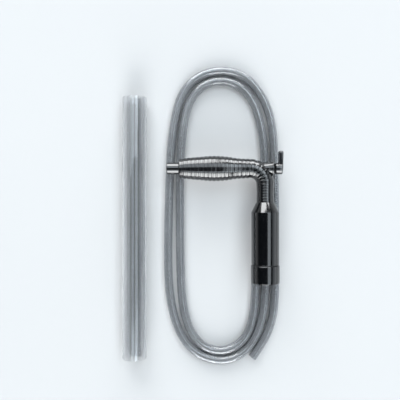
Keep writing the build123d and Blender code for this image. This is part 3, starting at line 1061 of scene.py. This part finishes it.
@dataclass
class Collar:
    """The end ring that takes the gravel tube, with the gravel guard inside it."""

    axis: Axis
    radius: float = 15.8 * MM
    sleeve_gap_r: float = 14.05 * MM
    socket_r: float = 13.55 * MM
    guard_r: float = 14.0 * MM
    hole_r: float = 1.6 * MM
    outer_petals: int = 6
    inner_petals: int = 4
    outer_petal_r: float = 10.2 * MM
    inner_petal_r: float = 5.4 * MM
    petal_width: float = 2.8 * MM
    petal_web: float = 2.4 * MM
    petal_steps: int = 14
    inner_turn: float = 0.4
    cutter_height: float = 20 * MM
    hub_r: float = 3.4 * MM
    hub_height: float = 0.4 * MM
    crisp: float = 0.2 * MM
    mouth: float = 0.5 * MM
    rim: float = 0.8 * MM

    def petal_tree(self, finish: Material) -> GeometryGraph:
        """The tree that cuts two rings of curved slots through the guard.

        Args:
            finish: the guard's plastic.

        Returns:
            The tree, whose base is the guard's plate lying flat round its axis.
        """
        sizes = {
            "Outer Petals": self.outer_petals,
            "Inner Petals": self.inner_petals,
            "Outer Radius": self.outer_petal_r,
            "Inner Radius": self.inner_petal_r,
            "Petal Width": self.petal_width,
            "Petal Web": self.petal_web,
            "Petal Steps": self.petal_steps,
            "Inner Turn": self.inner_turn,
            "Cutter Height": self.cutter_height,
            "Finish": finish,
        }
        g = GeometryGraph("guard_petals", sizes)
        cutters = []
        for ring, label in enumerate(("Outer", "Inner")):
            number, radius = g.size(f"{label} Petals"), g.size(f"{label} Radius")
            sweep = tau / number - g.size("Petal Web") / radius
            bow = {"Radius": radius, "Start Angle": 0.0, "Sweep Angle": sweep}
            arc = g.step("GeometryNodeCurveArc", {}, {"Resolution": g.size("Petal Steps"), **bow})
            shape = {"Width": g.size("Petal Width"), "Height": g.size("Cutter Height")}
            section = g.step("GeometryNodeCurvePrimitiveQuadrilateral", {}, shape)
            petal = g.step("GeometryNodeCurveToMesh", {}, {0: arc, 1: section, "Fill Caps": True})
            points = g.step("GeometryNodeMeshLine", {}, {"Count": number, "Offset": (0.0, 0.0, 0.0)})
            index = Num(g, g.step("GeometryNodeInputIndex"))
            angle = index * (tau / number) + g.size("Inner Turn") * ring
            turn = g.step("ShaderNodeCombineXYZ", {}, {2: angle})
            placed = {0: points, "Instance": petal, "Rotation": turn}
            petals = g.step("GeometryNodeInstanceOnPoints", {}, placed)
            cutters.append(g.step("GeometryNodeRealizeInstances", {}, {0: petals}))
        joined = g.node("GeometryNodeJoinGeometry")
        for cutter in cutters:
            g.put(joined.inputs[0], cutter)
        plate = g.node("GeometryNodeMeshBoolean", {"operation": "DIFFERENCE", "solver": "EXACT"})
        g.put(plate.inputs[0], g.source.outputs[0])
        g.put(plate.inputs[1], joined.outputs[0])
        g.close(plate.outputs[0])
        return g

    def guard(self, finish: Material) -> Piece:
        """Makes the gravel guard.

        Args:
            finish: the guard's plastic.

        Returns:
            The guard.
        """
        low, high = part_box("gravel_guard")
        thick = high.y - low.y
        flat = Axis(Vector((0, 0, 0)), Vector((0, 0, 1)), Vector((1, 0, 0)))
        sunk = thick - self.hub_height
        corners = [
            (0.0, self.hole_r, self.crisp),
            (0.0, self.guard_r, self.crisp),
            (thick, self.guard_r, self.crisp),
            (thick, self.hub_r),
            (sunk, self.hub_r - self.hub_height),
            (sunk, self.hole_r),
        ]
        plate = flat.turn("guard_plate", rounded(corners), 120)
        guard = self.petal_tree(finish).grow("gravel_guard_disc", plate.data)
        bpy.data.objects.remove(plate)
        for vertex in guard.data.vertices:
            across, up, along = vertex.co
            vertex.co = Vector((self.axis.origin.x + across, high.y - along, self.axis.origin.z + up))
        shaded(guard.data)
        return guard

    def build(self, finish: Material, guard_finish: Material) -> None:
        """Makes the collar and the guard.

        Args:
            finish: the gloss plastic.
            guard_finish: the guard's plastic.
        """
        low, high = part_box("tube_collar")
        step_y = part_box("gravel_guard")[0].y
        corners = [
            (high.y, self.sleeve_gap_r, self.crisp),
            (high.y, self.radius, self.mouth),
            (low.y, self.radius, self.rim),
            (low.y, self.socket_r, self.mouth),
            (step_y, self.socket_r),
            (step_y, self.sleeve_gap_r),
        ]
        collar = self.axis.turn("tube_collar_ring", rounded(corners), 160)
        hand_over(collar, finish, Body.COLLAR, "tube_collar")
        guard = self.guard(guard_finish)
        hand_over(guard, guard_finish, Body.COLLAR, "gravel_guard")
        report("collar", collar, guard)


@dataclass
class Regulator:
    """The quarter-turn flow regulator: bonnet, stop pin, lever and screw."""

    grip: Axis
    bonnet_r: float = 8.05 * MM
    nose_r: float = 4.6 * MM
    valve_r: float = 5.6 * MM
    stem_gap_r: float = 3.0 * MM
    barrel_end: float = 76.6 * MM
    flange: float = 1.2 * MM
    pin_r: float = 1.0 * MM
    pin_head_r: float = 1.4 * MM
    pin_head: float = 0.5 * MM
    barrel_r: float = 6.9 * MM
    hub_r: float = 6.3 * MM
    hub_end: float = 88.2 * MM
    arm_thickness: float = 4.3 * MM
    root_width: float = 9.0 * MM
    tip_width: float = 13.0 * MM
    tip_corner: float = 2.6 * MM
    edge: float = 0.9 * MM
    stem_r: float = 2.95 * MM
    stem_end: float = 86.0 * MM
    screw_seat: float = 86.6 * MM
    screw_head_r: float = 2.2 * MM
    screw_shank_r: float = 1.2 * MM
    finger_ribs: int = 5
    finger_pitch: float = 1.9 * MM
    finger_r: float = 0.55 * MM
    finger_inset: float = 3.0 * MM
    finger_side: float = 0.8 * MM
    finger_facets: int = 20
    finger_taper: float = 0.06
    crisp: float = 0.2 * MM
    flange_edge: float = 0.3 * MM
    cone_edge: float = 0.4 * MM
    pin_edge: float = 0.1 * MM
    pin_dome: float = 0.35 * MM
    root_back: float = 1.0 * MM
    root_corner: float = 1.0 * MM
    edge_steps: int = 4
    edge_angle: float = 50.0
    hub_edge: float = 0.9 * MM
    screw_gap: float = 0.2 * MM
    screw_tip: float = 0.3 * MM
    screw_dome: float = 0.6 * MM
    recess_long: float = 1.25 * MM
    recess_wide: float = 0.28 * MM
    recess_depth: float = 0.9 * MM
    recess_over: float = 0.1 * MM
    recess_foot: float = 0.7
    recess_mouth: float = 1.05

    def build_bonnet(self, finish: Material) -> None:
        """Makes the conical bonnet and the stop pin with its domed head."""
        low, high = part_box("regulator_bonnet")
        corners = [
            (low.x, self.stem_gap_r, self.crisp),
            (low.x, self.valve_r, self.crisp),
            (self.barrel_end, self.valve_r),
            (self.barrel_end, self.bonnet_r, self.flange_edge),
            (self.barrel_end + self.flange, self.bonnet_r, self.cone_edge),
            (high.x, self.nose_r, self.cone_edge),
            (high.x, self.stem_gap_r, self.crisp),
        ]
        bonnet = self.grip.turn("regulator_bonnet_cone", rounded(corners))
        hand_over(bonnet, finish, Body.MAIN, "regulator_bonnet")
        pin_low, pin_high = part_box("stop_pin")
        middle = (pin_low + pin_high) / 2
        upright = Axis(Vector((middle.x, middle.y, 0)), Vector((0, 0, 1)), Vector((1, 0, 0)))
        top = pin_high.z
        foot = [
            (pin_low.z, 0.0),
            (pin_low.z, self.pin_r, self.crisp),
            (top - self.pin_head, self.pin_r),
            (top - self.pin_head, self.pin_head_r, self.pin_edge),
            (top, self.pin_head_r, self.pin_dome),
            (top, 0.0),
        ]
        pin = upright.turn("stop_pin_stud", rounded(foot, closed=False), 48)
        hand_over(pin, finish, Body.MAIN, "stop_pin")
        report("bonnet and stop pin", bonnet, pin)

    def finger_tree(self, finish: Material) -> GeometryGraph:
        """The tree that lays round ribs across the lever's outer face, on a base that joins them.

        Args:
            finish: the lever's plastic.

        Returns:
            The tree, whose base is the bare arm.
        """
        sizes = {
            "Ribs": self.finger_ribs,
            "Pitch": self.finger_pitch,
            "Rib Radius": self.finger_r,
            "Rib Length": self.tip_width - 2 * self.edge - 2 * self.finger_side,
            "Rib Facets": self.finger_facets,
            "Taper": self.finger_taper,
            "Finish": finish,
        }
        g = GeometryGraph("lever_finger_ribs", sizes)
        low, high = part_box("regulator_lever")
        first = Vector((high.x - self.finger_r, high.y - self.finger_inset, self.grip.origin.z))
        offset = g.step("ShaderNodeCombineXYZ", {}, {1: 0 - g.size("Pitch")})
        row = {"Count": g.size("Ribs"), "Start Location": tuple(first), "Offset": offset}
        points = g.step("GeometryNodeMeshLine", {}, row)
        round_bar = {"Radius": g.size("Rib Radius"), "Depth": g.size("Rib Length"), "Side Segments": 1}
        bar = g.step("GeometryNodeMeshCylinder", {}, {"Vertices": g.size("Rib Facets"), **round_bar})
        index = Num(g, g.step("GeometryNodeInputIndex"))
        narrowing = 1 - index * g.size("Taper")
        scale = g.step("ShaderNodeCombineXYZ", {}, {0: 1.0, 1: 1.0, 2: narrowing})
        ribs = g.step("GeometryNodeInstanceOnPoints", {}, {0: points, "Instance": bar, "Scale": scale})
        ribs = g.step("GeometryNodeRealizeInstances", {}, {0: ribs})
        whole = g.node("GeometryNodeMeshBoolean", {"operation": "UNION", "solver": "EXACT"})
        g.put(whole.inputs[1], g.source.outputs[0])
        g.put(whole.inputs[1], ribs)
        g.close(whole.outputs[0])
        return g

    def build_lever(self, finish: Material) -> None:
        """Makes the lever: a flared arm with finger ribs, and the hub with its stem and screw holes.

        Args:
            finish: the lever's plastic.
        """
        low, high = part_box("regulator_lever")
        outer_x = high.x - 0.5 * self.finger_r
        centre_y, height = self.grip.origin.y, self.grip.origin.z
        arm = rounded(
            [
                (centre_y - self.root_back, self.root_width / 2, self.root_corner),
                (high.y, self.tip_width / 2, self.tip_corner),
                (high.y, -self.tip_width / 2, self.tip_corner),
                (centre_y - self.root_back, -self.root_width / 2, self.root_corner),
            ],
            steps=8,
        )
        number = len(arm)
        levels = [outer_x - self.arm_thickness, outer_x]
        points = [Vector((x, y, height + across)) for x in levels for y, across in arm]
        faces = [tuple(range(number)), tuple(range(number, 2 * number))] + ring_faces(2, number, False)
        bare = closed_piece("lever_arm", points, faces)
        bevel = bare.modifiers.new("edges", "BEVEL")
        bevel.width, bevel.segments = self.edge, self.edge_steps
        bevel.limit_method, bevel.angle_limit = "ANGLE", radians(self.edge_angle)
        bpy.context.view_layer.update()
        made_plain(bare)
        lever = self.finger_tree(finish).grow("regulator_lever_arm", bare.data)
        bpy.data.objects.remove(bare)
        hub = [
            (low.x, 0.0),
            (low.x, self.hub_r, self.cone_edge),
            (self.hub_end, self.hub_r, self.hub_edge),
            (self.hub_end, 0.0),
        ]
        cut(lever, self.grip.turn("hub", rounded(hub, closed=False), 96), Work.JOIN)
        well = rod(
            (low.x - MM, self.stem_end, self.stem_r),
            (self.stem_end, self.screw_seat, self.screw_shank_r),
            (self.screw_seat, high.x + MM, self.screw_head_r + self.screw_gap),
        )
        cut(lever, self.grip.turn("well", well, 64))
        hand_over(lever, finish, Body.REGULATOR, "regulator_lever")
        report("lever", lever)

    def build_screw(self, finish: Material) -> None:
        """Makes the lever's screw with its cross recess.

        Args:
            finish: the steel.
        """
        low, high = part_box("lever_screw")
        corners = [
            (low.x, 0.0),
            (low.x, self.screw_shank_r, self.screw_tip),
            (self.screw_seat, self.screw_shank_r),
            (self.screw_seat, self.screw_head_r, self.pin_edge),
            (high.x, self.screw_head_r, self.screw_dome),
            (high.x, 0.0),
        ]
        screw = self.grip.turn("lever_screw_head", rounded(corners, closed=False), 64)
        middle = Vector((high.x, self.grip.origin.y, self.grip.origin.z))
        spread = [(-1, -1), (1, -1), (1, 1), (-1, 1)]
        levels = [(-self.recess_depth, self.recess_foot), (self.recess_over, self.recess_mouth)]
        arm = (self.recess_long, self.recess_wide)
        for long, wide in (arm, arm[::-1]):
            points = [
                middle + Vector((depth, long * a * narrow, wide * b * narrow))
                for depth, narrow in levels
                for a, b in spread
            ]
            faces = [(0, 1, 2, 3), (4, 5, 6, 7)] + ring_faces(2, 4, False)
            cut(screw, closed_piece("recess", points, faces))
        hand_over(screw, finish, Body.REGULATOR, "lever_screw")
        report("screw", screw)


@dataclass(frozen=True)
class Insides:
    """The model's own parts inside the handpiece, which keep their shape and get a finish."""

    seals: tuple[str, ...] = (
        "neck_seal",
        "spigot_seal",
        "plug_seal",
        "stem_seal",
        "bonnet_seal",
        "seat_washer",
    )
    valve: tuple[str, ...] = ("valve_seat", "ball_cage", "regulator_plug")

    def dress(self, finishes: Finishes) -> None:
        """Gives the seals, the valve and the ball their finishes."""
        dress_nodes(finishes.rubber, *self.seals)
        dress_nodes(finishes.valve, *self.valve)
        dress_nodes(finishes.ball, "valve_ball")
        logging.info("insides: %d parts of the model dressed", len(self.seals) + len(self.valve) + 1)


# ---------------------------------------------------------------- studio
WHITE = (0.97, 0.99, 1.0)
COOL = (0.84, 0.93, 1.0)


@dataclass(frozen=True)
class Softbox:
    """A light panel that faces the siphon.

    It hangs at an azimuth from +Y towards +X, from a low to a high elevation, all in degrees. reach is its
    distance and width its breadth, in metres, and glow is its radiance.
    """

    name: str
    azimuth: float
    low: float
    high: float
    reach: float
    width: float
    glow: float
    colour: tuple[float, float, float] = WHITE

    def hang(self, target: Vector) -> None:
        """Hangs the panel so that it covers its elevations as seen from the target."""
        rise = radians((self.low + self.high) / 2)
        heading = radians(self.azimuth)
        away = Vector((sin(heading) * cos(rise), cos(heading) * cos(rise), sin(rise)))
        light = bpy.data.lights.new(self.name, "AREA")
        light.shape, light.size = "RECTANGLE", self.width
        light.size_y = 2 * self.reach * tan(radians((self.high - self.low) / 2))
        light.energy = self.glow * pi * light.size * light.size_y
        light.color = self.colour
        lamp = bpy.data.objects.new(self.name, light)
        lamp.location = target + away * self.reach
        lamp.rotation_euler = (-away).to_track_quat("-Z", "Y").to_euler()
        bpy.context.scene.collection.objects.link(lamp)


@dataclass(frozen=True)
class Studio:
    """The pale floor, the soft lights and the camera overhead."""

    eye: tuple[float, float, float] = (-0.002, 0.031, 0.564)
    lens: float = 44.2
    sensor: float = 36.0
    near: float = 0.01
    far: float = 20.0
    floor_half: float = 1.7
    floor_colour: Colour = (0.37, 0.371, 0.372, 1.0)
    floor_patch: float = 0.3
    floor_shade: float = 0.97
    sky: Colour = (0.95, 0.97, 1.0, 1.0)
    fade_low: float = 0.05
    fade_high: float = 0.5
    horizon_glow: float = 0.8
    zenith_glow: float = 0.01
    softboxes: tuple[Softbox, ...] = (
        Softbox("strip_far", -15.0, 0.5, 40.0, 6.4, 4.4, 11.5),
        Softbox("strip_far_low", 20.0, 0.5, 27.0, 6.4, 2.6, 11.5),
        Softbox("panel_far", -4.0, 43.0, 79.0, 6.4, 9.2, 3.4, COOL),
        Softbox("panel_right", 90.0, 52.0, 76.0, 6.0, 9.2, 2.9, COOL),
        Softbox("card_right", 90.0, 1.0, 36.0, 6.4, 6.4, 0.9, COOL),
        Softbox("strip_near", 182.0, 1.0, 41.0, 6.4, 5.0, 11.5),
        Softbox("panel_near", 180.0, 44.0, 60.0, 6.4, 6.0, 3.4, COOL),
    )

    def lay_floor(self) -> None:
        """Lays the floor, a sheet whose colour varies very slightly."""
        half = self.floor_half
        mesh = bpy.data.meshes.new("floor")
        corners = [(-half, -half, 0), (half, -half, 0), (half, half, 0), (-half, half, 0)]
        mesh.from_pydata(corners, [], [(0, 1, 2, 3)])
        floor = bpy.data.objects.new("floor", mesh)
        bpy.context.scene.collection.objects.link(floor)
        g = ShaderGraph("floor_paint")
        tone = g.noise(self.floor_patch, 2.0)
        darker = tuple(self.floor_shade * part for part in self.floor_colour[:3]) + (1.0,)
        paint = g.blend(darker, self.floor_colour, tone)
        dress(floor, g.finish(Base_Color=paint, Roughness=0.8, Specular_IOR_Level=0.0))

    def light(self) -> None:
        """Hangs the softboxes and sets the pale surroundings."""
        low, high = cad_box
        target = (low + high) / 2
        for softbox in self.softboxes:
            softbox.hang(target)
        world = bpy.data.worlds.new("surroundings")
        world.use_nodes = True
        g = Graph(world.node_tree)
        background = world.node_tree.nodes["Background"]
        heading = g.node("ShaderNodeTexCoord").outputs["Generated"]
        upward = Num(g, g.node("ShaderNodeSeparateXYZ", {}, {0: heading}).outputs[2])
        g.put(background.inputs["Color"], self.sky)
        fade = upward.rise(self.fade_low, self.fade_high) * (self.horizon_glow - self.zenith_glow)
        g.put(background.inputs["Strength"], self.horizon_glow - fade)
        bpy.context.scene.world = world

    def place_camera(self) -> None:
        """Puts the camera straight above the siphon, with +Y at the top of the picture."""
        camera = bpy.data.cameras.new("camera")
        camera.lens, camera.sensor_width = self.lens, self.sensor
        camera.clip_start, camera.clip_end = self.near, self.far
        holder = bpy.data.objects.new("camera", camera)
        holder.location = self.eye
        bpy.context.scene.collection.objects.link(holder)
        bpy.context.scene.camera = holder

    def set_up(self) -> None:
        """Sets the whole studio up."""
        self.place_camera()
        self.lay_floor()
        self.light()
        bpy.context.scene.view_settings.view_transform = "Standard"


def main() -> None:
    """Builds the siphon piece by piece, and logs the faces of each piece."""
    logging.basicConfig(level=logging.INFO, format="%(message)s", stream=sys.stdout)
    Studio().set_up()
    chamber_low, chamber_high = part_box("chamber_body")
    spigot_low, spigot_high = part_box("hose_spigot")
    chamber_x = (chamber_low.x + chamber_high.x) / 2
    grip_y = (spigot_low.y + spigot_high.y) / 2
    height = (chamber_low.z + chamber_high.z) / 2
    grip = Axis(Vector((0, grip_y, height)), Vector((1, 0, 0)), Vector((0, 1, 0)))
    chamber = Axis(Vector((chamber_x, 0, height)), Vector((0, 1, 0)), Vector((1, 0, 0)))
    finishes = Finishes(height, (grip_y, height))

    Hose().build(finishes.hose)
    GravelTube().build(finishes.tube)
    Handle(grip, chamber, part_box("grip_handle")[0].x).build(finishes.ribbed)
    Spigot(grip).build(finishes.gloss)
    Chamber(chamber).build(finishes.gloss, finishes.rubber)
    Collar(chamber).build(finishes.gloss, finishes.guard)
    regulator = Regulator(grip)
    regulator.build_bonnet(finishes.gloss)
    regulator.build_lever(finishes.lever)
    regulator.build_screw(finishes.steel)
    Insides().dress(finishes)


if __name__ == "__main__":
    main()
